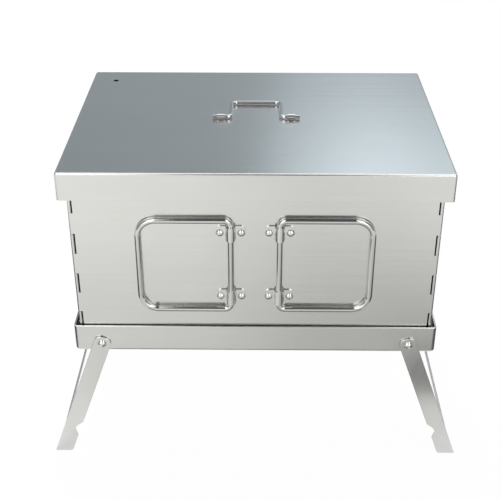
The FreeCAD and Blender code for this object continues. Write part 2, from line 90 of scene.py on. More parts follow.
class Level(Enum):
    """Lower or upper one of two stacked pieces."""

    LOWER = "lower"
    UPPER = "upper"


class NodeGraph:
    """Small helper that adds and links the nodes of one material, world or group."""

    def __init__(self, tree: bpy.types.NodeTree) -> None:
        """Start with an empty tree.

        Args:
            tree: The node tree to fill.
        """
        self.tree = tree
        self.tree.nodes.clear()

    def add(self, kind: str, **settings: object) -> bpy.types.Node:
        """Add a node.

        Args:
            kind: Blender's name of the node type.
            **settings: Properties of the node to set.

        Returns:
            The new node.
        """
        node = self.tree.nodes.new(kind)
        for key, value in settings.items():
            setattr(node, key, value)
        return node

    def link(self, source: Socket, target: Socket) -> None:
        """Link an output socket to an input socket."""
        self.tree.links.new(source, target)

    def maths(
        self, operation: str, first: Socket | float, second: Socket | float | None = None
    ) -> Socket:
        """Add a Math node.

        Args:
            operation: Blender's name of the operation.
            first: A socket or a number.
            second: A socket or a number, where the operation takes two.

        Returns:
            The node's output socket.
        """
        node = self.add("ShaderNodeMath", operation=operation)
        for index, value in enumerate((first, second)):
            if value is None:
                continue
            if isinstance(value, bpy.types.NodeSocket):
                self.link(value, node.inputs[index])
            else:
                node.inputs[index].default_value = value
        return node.outputs[0]

    def noise(self, vector: Socket, scale: float, detail: float, rough: float) -> Socket:
        """Add a Noise Texture read at a vector.

        Args:
            vector: The coordinates.
            scale: Cycles per unit of the coordinates.
            detail: Number of finer octaves.
            rough: Weight of the finer octaves.

        Returns:
            The noise's value socket, around 0.5.
        """
        node = self.add("ShaderNodeTexNoise")
        node.inputs["Scale"].default_value = scale
        node.inputs["Detail"].default_value = detail
        node.inputs["Roughness"].default_value = rough
        self.link(vector, node.inputs["Vector"])
        return node.outputs["Fac"]

    def spread(self, value: Socket, read: Ends, give: Ends, soft: bool = False) -> Socket:
        """Map a range of values onto another.

        Args:
            value: The socket to map.
            read: Ends of the range that is read.
            give: What those ends become.
            soft: Whether the change eases in and out.

        Returns:
            The mapped value's socket.
        """
        node = self.add("ShaderNodeMapRange", interpolation_type="SMOOTHSTEP" if soft else "LINEAR")
        self.link(value, node.inputs["Value"])
        for name, number in zip(("From Min", "From Max", "To Min", "To Max"), (*read, *give)):
            node.inputs[name].default_value = number
        return node.outputs["Result"]

    def blend(self, factor: Socket, first: Socket | Colour, second: Socket | Colour) -> Socket:
        """Mix two colours.

        Args:
            factor: Share of the second colour.
            first: A colour or a socket that gives one.
            second: A colour or a socket that gives one.

        Returns:
            The mixed colour's socket.
        """
        node = self.add("ShaderNodeMix", data_type="RGBA")
        sockets = [socket for socket in node.inputs if socket.type == "RGBA"]
        for value, socket in zip((first, second), sockets):
            if isinstance(value, bpy.types.NodeSocket):
                self.link(value, socket)
            else:
                socket.default_value = (*value, 1.0)
        self.link(factor, node.inputs["Factor"])
        return next(socket for socket in node.outputs if socket.type == "RGBA")

    def finish(self, shader: bpy.types.Node, kind: str = "ShaderNodeOutputMaterial") -> None:
        """End the graph in an output node."""
        self.link(shader.outputs[0], self.add(kind).inputs["Surface"])


def grey(level: float, tint: Colour = WHITE) -> Colour:
    """Colour of one level, leaning to a tint."""
    return (level * tint[0], level * tint[1], level * tint[2])


def shaded(colour: Colour, factor: float) -> Colour:
    """The colour made darker or lighter, never past white."""
    return tuple(min(1.0, channel * factor) for channel in colour)


def new_material(name: str) -> tuple[bpy.types.Material, NodeGraph]:
    """Start a material.

    Args:
        name: Name of the material.

    Returns:
        The material and its empty graph.
    """
    made = bpy.data.materials.new(name)
    made.use_nodes = True
    return made, NodeGraph(made.node_tree)


@dataclass(frozen=True)
class Group:
    """A shader node group under construction, with its two end nodes."""

    tree: bpy.types.NodeTree
    graph: NodeGraph
    given: bpy.types.Node
    out: bpy.types.Node

    @classmethod
    def start(cls, name: str, inputs: dict[str, str], outputs: dict[str, str]) -> "Group":
        """Start a group with named sockets.

        Args:
            name: Name of the group.
            inputs: Kind of each input, Vector or Float, by its name.
            outputs: Kind of each output, by its name.

        Returns:
            The group, ready to fill.
        """
        tree = bpy.data.node_groups.new(name, "ShaderNodeTree")
        for socket, kind in inputs.items():
            tree.interface.new_socket(socket, in_out="INPUT", socket_type="NodeSocket" + kind)
        for socket, kind in outputs.items():
            tree.interface.new_socket(socket, in_out="OUTPUT", socket_type="NodeSocket" + kind)
        graph = NodeGraph(tree)
        return cls(tree, graph, graph.add("NodeGroupInput"), graph.add("NodeGroupOutput"))

    def give(self, name: str, source: Socket) -> None:
        """Feed one of the group's outputs."""
        self.graph.link(source, self.out.inputs[name])


class Effects:
    """The shader node groups that the finishes share, each built once.

    A detail is the number of finer octaves of a noise, with their weight. A contrast is the part of
    the noise's values that becomes the full range from 0 to 1.
    """

    END_SLOPE = 0.7
    STREAK_DETAIL = (4.0, 0.62)
    STREAK_CONTRAST = (0.3, 0.7)
    HAIRLINES_PER_STREAK = 4.0
    HAIRLINE_DETAIL = (2.0, 0.7)
    CLOUDS_PER_METRE = 16.0
    CLOUD_DETAIL = (3.0, 0.5)
    CLOUD_CONTRAST = (0.35, 0.7)
    SPECKS_PER_METRE = 900.0
    SPECK_DETAIL = (2.0, 0.5)
    SPECK_CONTRAST = (0.3, 0.7)
    WAVES_PER_METRE = 7.0
    WAVE_DETAIL = (0.0, 0.5)

    def __init__(self) -> None:
        """Build the groups."""
        self.unfolded = self._unfolded()
        self.brushing = self._brushing()
        self.handling = self._handling()

    def _unfolded(self) -> bpy.types.NodeTree:
        """Coordinates that stay along the brushing where a pan's end is folded over.

        Returns:
            The node group.
        """
        group = Group.start(
            "unfolded_sheet", {"Along": "Vector", "Normal": "Vector"}, {"Vector": "Vector"}
        )
        graph = group.graph
        place = graph.add("ShaderNodeSeparateXYZ")
        graph.link(group.given.outputs["Along"], place.inputs[0])
        facing = graph.add("ShaderNodeSeparateXYZ")
        graph.link(group.given.outputs["Normal"], facing.inputs[0])
        turned = graph.maths("ABSOLUTE", facing.outputs[0])
        on_end = graph.maths("GREATER_THAN", turned, self.END_SLOPE)
        off_end = graph.maths("SUBTRACT", 1.0, on_end)
        folded_length = graph.maths("MULTIPLY", place.outputs[2], on_end)
        along = graph.maths("ADD", place.outputs[0], folded_length)
        height = graph.maths("MULTIPLY", place.outputs[2], off_end)
        joined = graph.add("ShaderNodeCombineXYZ")
        for socket, target in zip((along, place.outputs[1], height), joined.inputs):
            graph.link(socket, target)
        group.give("Vector", joined.outputs[0])
        return group.tree

    def _brushing(self) -> bpy.types.NodeTree:
        """Long fine streaks along X of the coordinates that it is given.

        Returns:
            The node group.
        """
        group = Group.start(
            "brushed_streaks",
            {"Vector": "Vector", "Length": "Float", "Fineness": "Float"},
            {"Streaks": "Float", "Hairlines": "Float"},
        )
        graph = group.graph
        stretch = graph.add("ShaderNodeCombineXYZ")
        graph.link(graph.maths("DIVIDE", 1.0, group.given.outputs["Length"]), stretch.inputs[0])
        graph.link(group.given.outputs["Fineness"], stretch.inputs[1])
        graph.link(group.given.outputs["Fineness"], stretch.inputs[2])
        scaled = graph.add("ShaderNodeVectorMath", operation="MULTIPLY")
        graph.link(group.given.outputs["Vector"], scaled.inputs[0])
        graph.link(stretch.outputs[0], scaled.inputs[1])
        streaks = graph.noise(scaled.outputs[0], 1.0, *self.STREAK_DETAIL)
        hairlines = graph.noise(scaled.outputs[0], self.HAIRLINES_PER_STREAK, *self.HAIRLINE_DETAIL)
        group.give("Streaks", graph.spread(streaks, self.STREAK_CONTRAST, FULL))
        group.give("Hairlines", hairlines)
        return group.tree

    def _handling(self) -> bpy.types.NodeTree:
        """Faint clouds where the steel has been wiped and handled, fine specks and slow waves.

        Returns:
            The node group.
        """
        group = Group.start(
            "handled_steel",
            {"Vector": "Vector"},
            {"Clouds": "Float", "Specks": "Float", "Waves": "Float"},
        )
        graph = group.graph
        vector = group.given.outputs["Vector"]
        clouds = graph.noise(vector, self.CLOUDS_PER_METRE, *self.CLOUD_DETAIL)
        specks = graph.noise(vector, self.SPECKS_PER_METRE, *self.SPECK_DETAIL)
        group.give("Clouds", graph.spread(clouds, self.CLOUD_CONTRAST, FULL))
        group.give("Specks", graph.spread(specks, self.SPECK_CONTRAST, FULL))
        group.give("Waves", graph.noise(vector, self.WAVES_PER_METRE, *self.WAVE_DETAIL))
        return group.tree


@dataclass(frozen=True)
class BrushedSheet:
    """Brushed stainless sheet: fine streaks along the grain, soft clouds and slow waves."""

    name: str
    colour: Colour = (0.735, 0.733, 0.722)
    roughness: float = 0.23
    grain: Grain = Grain.ALONG_X
    fold: Fold = Fold.FLAT
    tilt: float = 0.0
    streak_length: float = 0.22
    streaks_per_metre: float = 420.0
    streak_depth: float = 0.022
    streak_roughness: float = 0.022
    cloud_depth: float = 0.025
    cloud_share: float = 0.5
    cloud_roughness: float = 0.02
    hairline_height: float = 0.0012 * MM
    wave_height: float = 0.12 * MM

    def _turn(self) -> Place:
        """Turn that lays the grain along X of the streaks' coordinates.

        Returns:
            Angles about X, Y and Z.
        """
        if self.grain is Grain.ALONG_Y:
            return (0.0, 0.0, -QUARTER_TURN)
        if self.grain is Grain.ALONG_Z:
            return (0.0, QUARTER_TURN + self.tilt, 0.0)
        return (0.0, self.tilt, 0.0)

    def material(self, effects: Effects) -> bpy.types.Material:
        """Make the material.

        Args:
            effects: The shared shader node groups.

        Returns:
            The new material.
        """
        made, graph = new_material(self.name)
        place = graph.add("ShaderNodeTexCoord")
        mapping = graph.add("ShaderNodeMapping")
        mapping.inputs["Rotation"].default_value = self._turn()
        graph.link(place.outputs["Object"], mapping.inputs["Vector"])
        vector = mapping.outputs["Vector"]
        if self.fold is Fold.PAN:
            unfolded = graph.add("ShaderNodeGroup", node_tree=effects.unfolded)
            graph.link(vector, unfolded.inputs["Along"])
            graph.link(place.outputs["Normal"], unfolded.inputs["Normal"])
            vector = unfolded.outputs["Vector"]
        brushing = graph.add("ShaderNodeGroup", node_tree=effects.brushing)
        graph.link(vector, brushing.inputs["Vector"])
        brushing.inputs["Length"].default_value = self.streak_length
        brushing.inputs["Fineness"].default_value = self.streaks_per_metre
        handling = graph.add("ShaderNodeGroup", node_tree=effects.handling)
        graph.link(place.outputs["Object"], handling.inputs["Vector"])

        shader = graph.add("ShaderNodeBsdfPrincipled")
        shader.inputs["Metallic"].default_value = 1.0
        streaked = graph.blend(
            brushing.outputs["Streaks"],
            shaded(self.colour, 1.0 - self.streak_depth),
            shaded(self.colour, 1.0 + self.streak_depth),
        )
        dulled = shaded(self.colour, 1.0 - 2.0 * self.cloud_depth)
        cloudy = graph.spread(handling.outputs["Clouds"], FULL, (0.0, self.cloud_share))
        graph.link(graph.blend(cloudy, streaked, dulled), shader.inputs["Base Color"])

        rough = (self.roughness - self.streak_roughness, self.roughness + self.streak_roughness)
        from_streaks = graph.spread(brushing.outputs["Streaks"], FULL, rough)
        from_clouds = graph.spread(handling.outputs["Clouds"], FULL, (0.0, self.cloud_roughness))
        graph.link(graph.maths("ADD", from_streaks, from_clouds), shader.inputs["Roughness"])

        waves = graph.add("ShaderNodeBump")
        waves.inputs["Distance"].default_value = self.wave_height
        graph.link(handling.outputs["Waves"], waves.inputs["Height"])
        lines = graph.add("ShaderNodeBump")
        lines.inputs["Distance"].default_value = self.hairline_height
        graph.link(brushing.outputs["Hairlines"], lines.inputs["Height"])
        graph.link(waves.outputs["Normal"], lines.inputs["Normal"])
        graph.link(lines.outputs["Normal"], shader.inputs["Normal"])
        graph.finish(shader)
        return made


@dataclass(frozen=True)
class SolidSteel:
    """Bare steel of wire, rivet heads and welds: fine specks, faint clouds and a little relief."""

    name: str
    colour: Colour = (0.74, 0.735, 0.725)
    roughness: float = 0.11
    speck_depth: float = 0.05
    speck_height: float = 0.002 * MM
    tarnish: Colour = (0.7, 0.69, 0.67)
    cloud_share: float = 0.6
    cloud_roughness: Ends = (-0.02, 0.03)

    def material(self, effects: Effects) -> bpy.types.Material:
        """Make the material.

        Args:
            effects: The shared shader node groups.

        Returns:
            The new material.
        """
        made, graph = new_material(self.name)
        place = graph.add("ShaderNodeTexCoord")
        handling = graph.add("ShaderNodeGroup", node_tree=effects.handling)
        graph.link(place.outputs["Object"], handling.inputs["Vector"])
        shader = graph.add("ShaderNodeBsdfPrincipled")
        shader.inputs["Metallic"].default_value = 1.0
        specked = graph.blend(
            handling.outputs["Specks"],
            shaded(self.colour, 1.0 - self.speck_depth),
            shaded(self.colour, 1.0 + self.speck_depth),
        )
        cloudy = graph.spread(handling.outputs["Clouds"], FULL, (0.0, self.cloud_share))
        graph.link(graph.blend(cloudy, specked, self.tarnish), shader.inputs["Base Color"])
        low, high = self.cloud_roughness
        ends = (self.roughness + low, self.roughness + high)
        graph.link(graph.spread(handling.outputs["Clouds"], FULL, ends), shader.inputs["Roughness"])
        fine = graph.add("ShaderNodeBump")
        fine.inputs["Distance"].default_value = self.speck_height
        graph.link(handling.outputs["Specks"], fine.inputs["Height"])
        graph.link(fine.outputs["Normal"], shader.inputs["Normal"])
        graph.finish(shader)
        return made


Finish = BrushedSheet | SolidSteel


def bright_wire(name: str) -> SolidSteel:
    """Polished wire of a handle, a little darker than the sheets.

    Args:
        name: Name of the finish.

    Returns:
        The finish.
    """
    return SolidSteel(
        name,
        colour=(0.66, 0.655, 0.645),
        roughness=0.07,
        speck_depth=0.03,
        speck_height=0.001 * MM,
        tarnish=(0.62, 0.61, 0.59),
    )


def small_sheet(name: str) -> BrushedSheet:
    """Bright sheet of a small saddle clip, with short fine brushing and no waves.

    Args:
        name: Name of the finish.

    Returns:
        The finish.
    """
    return BrushedSheet(
        name, roughness=0.16, streak_length=0.02, streaks_per_metre=900.0, wave_height=0.0
    )


def weld_metal(name: str) -> SolidSteel:
    """Dull rough metal of a weld.

    Args:
        name: Name of the finish.

    Returns:
        The finish.
    """
    return SolidSteel(
        name, colour=(0.6, 0.585, 0.56), roughness=0.34, speck_depth=0.09, speck_height=0.012 * MM
    )


@dataclass
class Shop:
    """Keeps the effects and the materials made so far, dresses the pieces and reports each."""

    effects: Effects = field(default_factory=Effects)
    materials: dict[Finish, bpy.types.Material] = field(default_factory=dict)

    def material(self, finish: Finish) -> bpy.types.Material:
        """Give a finish's material, which is made the first time that it is asked for.

        Args:
            finish: The finish.

        Returns:
            Its material.
        """
        if finish not in self.materials:
            self.materials[finish] = finish.material(self.effects)
        return self.materials[finish]

    def dress(self, node: str, finish: Finish) -> None:
        """Give a piece of the frame its finish.

        Args:
            node: Name of the piece.
            finish: The finish.
        """
        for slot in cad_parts[node].material_slots:
            slot.material = self.material(finish)
        LOG.info("dressed %s in %s", node, finish.name)

    def add(self, piece: bpy.types.Object, finish: Finish, body: str, slot: str) -> None:
        """Give a new piece its finish and the body that it rides on.

        Args:
            piece: The finished mesh.
            finish: The finish.
            body: Name of the body.
            slot: Material slot of the record that the finish stands for. Not used.
        """
        piece.data.materials.clear()
        piece.data.materials.append(self.material(finish))
        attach(piece, body)
        LOG.info("modelled %s on %s with %d faces", piece.name, body, len(piece.data.polygons))


def deselect_all() -> None:
    """Leave nothing selected, so that an operator acts on the next piece alone."""
    bpy.ops.object.select_all(action="DESELECT")


def lies_level(normal: Vector) -> bool:
    """Whether a face with this normal lies level, facing up or down."""
    return abs(normal.z) > 0.9


def faces_up(normal: Vector) -> bool:
    """Whether a face with this normal lies level and faces up."""
    return normal.z > 0.9


def stands_upright(normal: Vector) -> bool:
    """Whether a face with this normal stands upright."""
    return abs(normal.z) < 0.1


def pick_faces(piece: bpy.types.Object, wanted: Callable[[Vector], bool]) -> None:
    """Select the faces of a mesh in edit mode by their normals.

    Args:
        piece: The mesh, in edit mode.
        wanted: Whether a face with this normal is picked.
    """
    bpy.ops.mesh.select_mode(type="FACE")
    bpy.ops.mesh.select_all(action="DESELECT")
    shape = bmesh.from_edit_mesh(piece.data)
    for face in shape.faces:
        face.select = wanted(face.normal)
    shape.select_flush_mode()
    bmesh.update_edit_mesh(piece.data)


def copy_at(pattern: bpy.types.Object, place: Place, turn: Matrix | None = None) -> bpy.types.Object:
    """Copy a pattern with its own mesh, which holds the copy's place.

    Args:
        pattern: The mesh to copy, modelled at the origin.
        place: Where the copy's middle goes.
        turn: How the copy is turned first.

    Returns:
        The copy, whose object stays at the origin.
    """
    copy = pattern.copy()
    copy.data = pattern.data.copy()
    copy.data.transform(Matrix.Translation(place) @ (turn or Matrix.Identity(4)))
    bpy.context.scene.collection.objects.link(copy)
    return copy


def joined(copies: list[bpy.types.Object], name: str) -> bpy.types.Object:
    """Join copies into one piece.

    Args:
        copies: The meshes, all with their objects at the origin.
        name: Name of the piece.

    Returns:
        The piece.
    """
    deselect_all()
    for copy in copies:
        copy.select_set(True)
    bpy.context.view_layer.objects.active = copies[0]
    bpy.ops.object.join()
    piece = bpy.context.object
    piece.name = name
    piece.data.name = name
    deselect_all()
    return piece


@dataclass(frozen=True)
class CrossingWeld:
    """Flat collar of metal squeezed out where two crossing wires are welded."""

    radius: float = 1.75 * MM
    height: float = 1.0 * MM
    crown: float = 0.22 * MM
    crown_inset_share: float = 0.3
    crown_taper: float = 0.9
    belly_share: float = 0.12
    belly_taper: float = 0.45
    sides: int = 8

    def pattern(self) -> bpy.types.Object:
        """Model the weld round the origin, with the wires crossing above and below it.

        Returns:
            The pattern to copy.
        """
        deselect_all()
        bpy.ops.mesh.primitive_cylinder_add(
            vertices=self.sides, radius=self.radius, depth=self.height
        )
        weld = bpy.context.object
        bpy.ops.object.mode_set(mode="EDIT")
        pick_faces(weld, lies_level)
        bpy.ops.mesh.inset(thickness=self.crown_inset_share * self.radius, depth=self.crown)
        bpy.ops.transform.resize(value=(self.crown_taper, self.crown_taper, 1.0))
        pick_faces(weld, stands_upright)
        belly = {"value": self.belly_share * self.radius}
        bpy.ops.mesh.extrude_region_shrink_fatten(TRANSFORM_OT_shrink_fatten=belly)
        bpy.ops.transform.resize(value=(1.0, 1.0, self.belly_taper))
        bpy.ops.object.mode_set(mode="OBJECT")
        bpy.ops.object.shade_smooth()
        return weld


@dataclass(frozen=True)
class EndWeld:
    """Small sloping bead round a wire's end, where it is welded square onto another piece.

    Each slope is a step inwards as a share of the bead's spread, and up as a share of its height.
    """

    wire_radius: float
    spread: float = 0.8 * MM
    height: float = 0.9 * MM
    foot_share: float = 0.3
    slopes: tuple[Ends, ...] = ((0.45, 0.3), (0.5, 0.4))
    sides: int = 14

    def pattern(self) -> bpy.types.Object:
        """Model the bead on the origin's plane, with the wire leaving along Z.

        Returns:
            The pattern to copy.
        """
        deselect_all()
        foot = self.foot_share * self.height
        bpy.ops.mesh.primitive_cylinder_add(
            vertices=self.sides,
            radius=self.wire_radius + self.spread,
            depth=foot,
            location=(0.0, 0.0, foot / 2),
        )
        weld = bpy.context.object
        bpy.ops.object.transform_apply(location=True, rotation=False, scale=False)
        bpy.ops.object.mode_set(mode="EDIT")
        pick_faces(weld, faces_up)
        for inwards, up in self.slopes:
            bpy.ops.mesh.inset(thickness=inwards * self.spread, depth=up * self.height)
        bpy.ops.object.mode_set(mode="OBJECT")
        bpy.ops.object.shade_smooth()
        return weld


@dataclass
class Tray:
    """Shallow folded pan with a hemmed rim, which the hood stands in."""

    sheet: BrushedSheet = BrushedSheet("tray_sheet", fold=Fold.PAN)

    def build(self, shop: Shop) -> None:
        """Dress the tray."""
        shop.dress("tray", self.sheet)


@dataclass
class LegPair:
    """Front and rear strap on one side, joined by a crossbar that is welded between them."""

    side: Side
    splay: float = math.radians(20.0)
    crossbar_radius: float = 1.5 * MM
    bar: SolidSteel = SolidSteel("crossbar_steel", roughness=0.26)
    bead: SolidSteel = weld_metal("leg_weld_steel")

    def build(self, shop: Shop) -> None:
        """Dress the pair and model the crossbar's welds.

        Args:
            shop: Where the finishes come from.
        """
        word = self.side.word
        tilt = -self.side.value * self.splay
        strap = BrushedSheet(f"{word}_leg_sheet", grain=Grain.ALONG_Z, tilt=tilt)
        for end in ("front", "rear"):
            shop.dress(f"{word}_leg_{end}_strap", strap)
        shop.dress(f"{word}_leg_crossbar", self.bar)
        shop.add(self._welds(), self.bead, f"{word}_legs", "brushed_sheet")

    def _welds(self) -> bpy.types.Object:
        """Model the two beads round the crossbar's ends, on the straps' inner faces.

        Returns:
            Both beads as one piece.
        """
        word = self.side.word
        low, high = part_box(f"{word}_leg_crossbar")
        middle_x = (low[0] + high[0]) / 2
        middle_z = (low[2] + high[2]) / 2
        front_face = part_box(f"{word}_leg_front_strap")[1][1]
        rear_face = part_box(f"{word}_leg_rear_strap")[0][1]
        pattern = EndWeld(self.crossbar_radius).pattern()
        beads = []
        for face, turn in ((front_face, -QUARTER_TURN), (rear_face, QUARTER_TURN)):
            place = (middle_x, face, middle_z)
            beads.append(copy_at(pattern, place, Matrix.Rotation(turn, 4, "X")))
        bpy.data.objects.remove(pattern)
        return joined(beads, f"{word}_leg_welds")


@dataclass
class Rivets:
    """Dome rivets of the legs and the loop clips, and the washers behind the straps."""

    dome: SolidSteel = SolidSteel("rivet_head", roughness=0.09)

    def build(self, shop: Shop) -> None:
        """Dress the rivets and washers."""
        for node in ("clip_rivets", "leg_rivets", "leg_washers"):
            shop.dress(node, self.dome)


@dataclass
class Hood:
    """Four sheet walls with rolled knuckles, held at the corners by pull-out pins."""

    long_wall: BrushedSheet = BrushedSheet("long_wall_sheet")
    short_wall: BrushedSheet = BrushedSheet("short_wall_sheet", grain=Grain.ALONG_Y)
    pin: SolidSteel = SolidSteel("corner_pin_wire", roughness=0.16)

    def build(self, shop: Shop) -> None:
        """Dress the walls and the pins.

        Args:
            shop: Where the finishes come from.
        """
        for end in ("front", "rear"):
            shop.dress(f"{end}_wall", self.long_wall)
        for side in Side:
            shop.dress(f"{side.word}_wall", self.short_wall)
            for end in ("front", "rear"):
                shop.dress(f"corner_pin_{end}_{side.word}", self.pin)


@dataclass
class WireLoop:
    """Rectangular loop of bent wire on the front wall, and the two saddle clips it swings in."""

    side: Side
    wire: SolidSteel = bright_wire("loop_wire")
    clip: BrushedSheet = small_sheet("clip_sheet")

    def build(self, shop: Shop) -> None:
        """Dress the loop and its clips.

        Args:
            shop: Where the finishes come from.
        """
        shop.dress(f"{self.side.word}_loop", self.wire)
        for level in Level:
            shop.dress(f"{self.side.word}_loop_{level.value}_clip", self.clip)


@dataclass
class Lid:
    """Folded lid with its skirt, and the wire bail that lies back on it in two saddle clips."""

    sheet: BrushedSheet = BrushedSheet("lid_sheet", fold=Fold.PAN)
    bail_wire: SolidSteel = bright_wire("bail_wire")
    bail_clip: BrushedSheet = small_sheet("bail_clip_sheet")

    def build(self, shop: Shop) -> None:
        """Dress the lid, the bail and its clips.

        Args:
            shop: Where the finishes come from.
        """
        shop.dress("lid", self.sheet)
        shop.dress("bail", self.bail_wire)
        for side in Side:
            shop.dress(f"bail_clip_{side.word}", self.bail_clip)


@dataclass
class Rack:
    """Welded wire rack: a grid with two stiffeners on two sled-shaped leg frames."""

    level: Level
    food_wires: int = 11
    frame_wire: float = 4.0 * MM
    food_wire: float = 2.5 * MM
    stiffener_wire: float = 3.0 * MM
    stiffener_spacing: float = 160.0 * MM
    weld_sink: float = 0.5 * MM
    leg_pitches: int = 9
    rail_above_tray: float = 27.5 * MM
    end_weld_spread: float = 0.6 * MM
    wire: SolidSteel = SolidSteel("rack_wire_finish", roughness=0.17)
    bead: SolidSteel = weld_metal("rack_weld_steel")

    def build(self, shop: Shop) -> None:
        """Dress the rack and model its welds.

        Args:
            shop: Where the finishes come from.
        """
        shop.dress(f"{self.level.value}_rack_grid", self.wire)
        for side in Side:
            shop.dress(f"{self.level.value}_rack_{side.word}_frame", self.wire)
        shop.add(self._welds(), self.bead, f"{self.level.value}_rack", "rack_wire")

    def _welds(self) -> bpy.types.Object:
        """Model the welds where the wires cross and where they end on others.

        Returns:
            All the welds as one piece.
        """
        _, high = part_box(f"{self.level.value}_rack_grid")
        half_x = high[0] - self.frame_wire / 2
        half_y = high[1] - self.frame_wire / 2
        food_z = high[2] - self.food_wire / 2
        pitch = 2 * half_y / (self.food_wires + 1)
        leg_y = pitch * self.leg_pitches / 2
        leg_x = half_x - self.frame_wire
        crossing_z = food_z - self.food_wire / 2 + self.weld_sink / 2
        frame_z = crossing_z + self.weld_sink / 2 - self.frame_wire / 2
        stiffener_z = crossing_z + self.weld_sink / 2 - self.stiffener_wire / 2

        crossing = CrossingWeld().pattern()
        stiffener_end = EndWeld(self.stiffener_wire / 2, self.end_weld_spread).pattern()
        copies = []
        for index in range(self.food_wires):
            y = -half_y + (index + 1) * pitch
            for x in (-half_x, -self.stiffener_spacing / 2, self.stiffener_spacing / 2, half_x):
                copies.append(copy_at(crossing, (x, y, crossing_z)))
        sideways = Matrix.Rotation(QUARTER_TURN, 4, "Y")
        for side in (-1, 1):
            for end in (-1, 1):
                inwards = Matrix.Rotation(end * QUARTER_TURN, 4, "X")
                leg_weld = (side * (half_x - self.frame_wire / 2), end * leg_y, frame_z)
                copies.append(copy_at(crossing, leg_weld, sideways))
                rail_face = end * (half_y - self.frame_wire / 2)
                stiffener = (side * self.stiffener_spacing / 2, rail_face, stiffener_z)
                copies.append(copy_at(stiffener_end, stiffener, inwards))
                if self.level is Level.LOWER:
                    rail_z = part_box("tray")[0][2] + self.rail_above_tray
                    rail = (side * leg_x, end * (leg_y - self.frame_wire / 2), rail_z)
                    copies.append(copy_at(stiffener_end, rail, inwards))
        for pattern in (crossing, stiffener_end):
            bpy.data.objects.remove(pattern)
        return joined(copies, f"{self.level.value}_rack_welds")


@dataclass
class Pans:
    """Wood chip pan on the tray's floor, and the drip tray on the lower rack's rails."""

    sheet: BrushedSheet = BrushedSheet("pan_sheet_finish", roughness=0.3, fold=Fold.PAN)

    def build(self, shop: Shop) -> None:
        """Dress both pans."""
        for node in ("drip_tray", "chip_pan"):
            shop.dress(node, self.sheet)


@dataclass(frozen=True)
class ToneRow:
    """Soft run of grey levels from side to side, at one height of a card.

    Each stop is a place along the card, in metres from its middle, and the level there.
    """

    at: float
    stops: tuple[Ends, ...]
    tint: Colour = WHITE

    def socket(self, graph: NodeGraph, along: Socket, half: float) -> Socket:
        """Add the run's colour ramp.

        Args:
            graph: The card's graph.
            along: Place along the card, in metres from its middle.
            half: Half the card's length.

        Returns:
            The ramp's colour.
        """
        ramp = graph.add("ShaderNodeValToRGB")
        graph.link(graph.spread(along, (-half, half), FULL), ramp.inputs["Fac"])
        ramp.color_ramp.interpolation = "EASE"
        elements = ramp.color_ramp.elements
        elements.remove(elements[-1])
        for index, (place, level) in enumerate(self.stops):
            position = (place + half) / (2 * half)
            element = elements.new(position) if index else elements[0]
            element.position = position
            element.color = (*grey(level, self.tint), 1.0)
        return ramp.outputs["Color"]


@dataclass(frozen=True)
class StudioCard:
    """Glowing card that only reflections see, as a photographer stands round bright metal."""

    name: str
    centre: Place
    size: tuple[float, float]
    rows: tuple[ToneRow, ...]
    turn: Place = (0.0, 0.0, 0.0)

    def build(self) -> None:
        """Make the card, which only reflections see."""
        deselect_all()
        bpy.ops.mesh.primitive_plane_add(size=1.0, location=self.centre, rotation=self.turn)
        card = bpy.context.object
        card.name = self.name
        card.scale = (self.size[0], self.size[1], 1.0)
        bpy.ops.object.transform_apply(location=False, rotation=False, scale=True)
        made, graph = new_material(self.name)
        place = graph.add("ShaderNodeSeparateXYZ")
        graph.link(graph.add("ShaderNodeTexCoord").outputs["Object"], place.inputs[0])
        half = self.size[0] / 2
        colour = self.rows[0].socket(graph, place.outputs[0], half)
        for before, row in zip(self.rows, self.rows[1:]):
            share = graph.spread(place.outputs[1], (before.at, row.at), FULL, soft=True)
            colour = graph.blend(share, colour, row.socket(graph, place.outputs[0], half))
        glow = graph.add("ShaderNodeEmission")
        graph.link(colour, glow.inputs["Color"])
        graph.finish(glow)
        card.data.materials.append(made)
        card.visible_camera = False
        card.visible_diffuse = False
        card.visible_shadow = False
        card.visible_transmission = False
        LOG.info("set up %s", self.name)


def plain(level: float) -> tuple[ToneRow, ...]:
    """The one row of a card that has the same level all over."""
    return (ToneRow(0.0, ((0.0, level),)),)


COOL: Colour = (0.89, 1.0, 1.08)
COLD: Colour = (0.87, 1.0, 1.07)
WARM: Colour = (1.0, 1.0, 0.97)
UPRIGHT: Place = (QUARTER_TURN, 0.0, 0.0)
UPRIGHT_ALONG_Y: Place = (QUARTER_TURN, 0.0, QUARTER_TURN)


@dataclass(frozen=True)
class SoftLamp:
    """Square lamp that looks at the smoker and doesn't show in the metal."""

    name: str
    place: Place
    size: float
    power: float
    aim: Place = (0.0, 0.0, 0.2)

    def build(self) -> None:
        """Hang the lamp."""
        data = bpy.data.lights.new(self.name, "AREA")
        data.size = self.size
        data.energy = self.power
        lamp = bpy.data.objects.new(self.name, data)
        bpy.context.scene.collection.objects.link(lamp)
        lamp.location = self.place
        towards = Vector(self.aim) - Vector(self.place)
        lamp.rotation_euler = towards.to_track_quat("-Z", "Y").to_euler()
        lamp.visible_camera = False
        lamp.visible_glossy = False


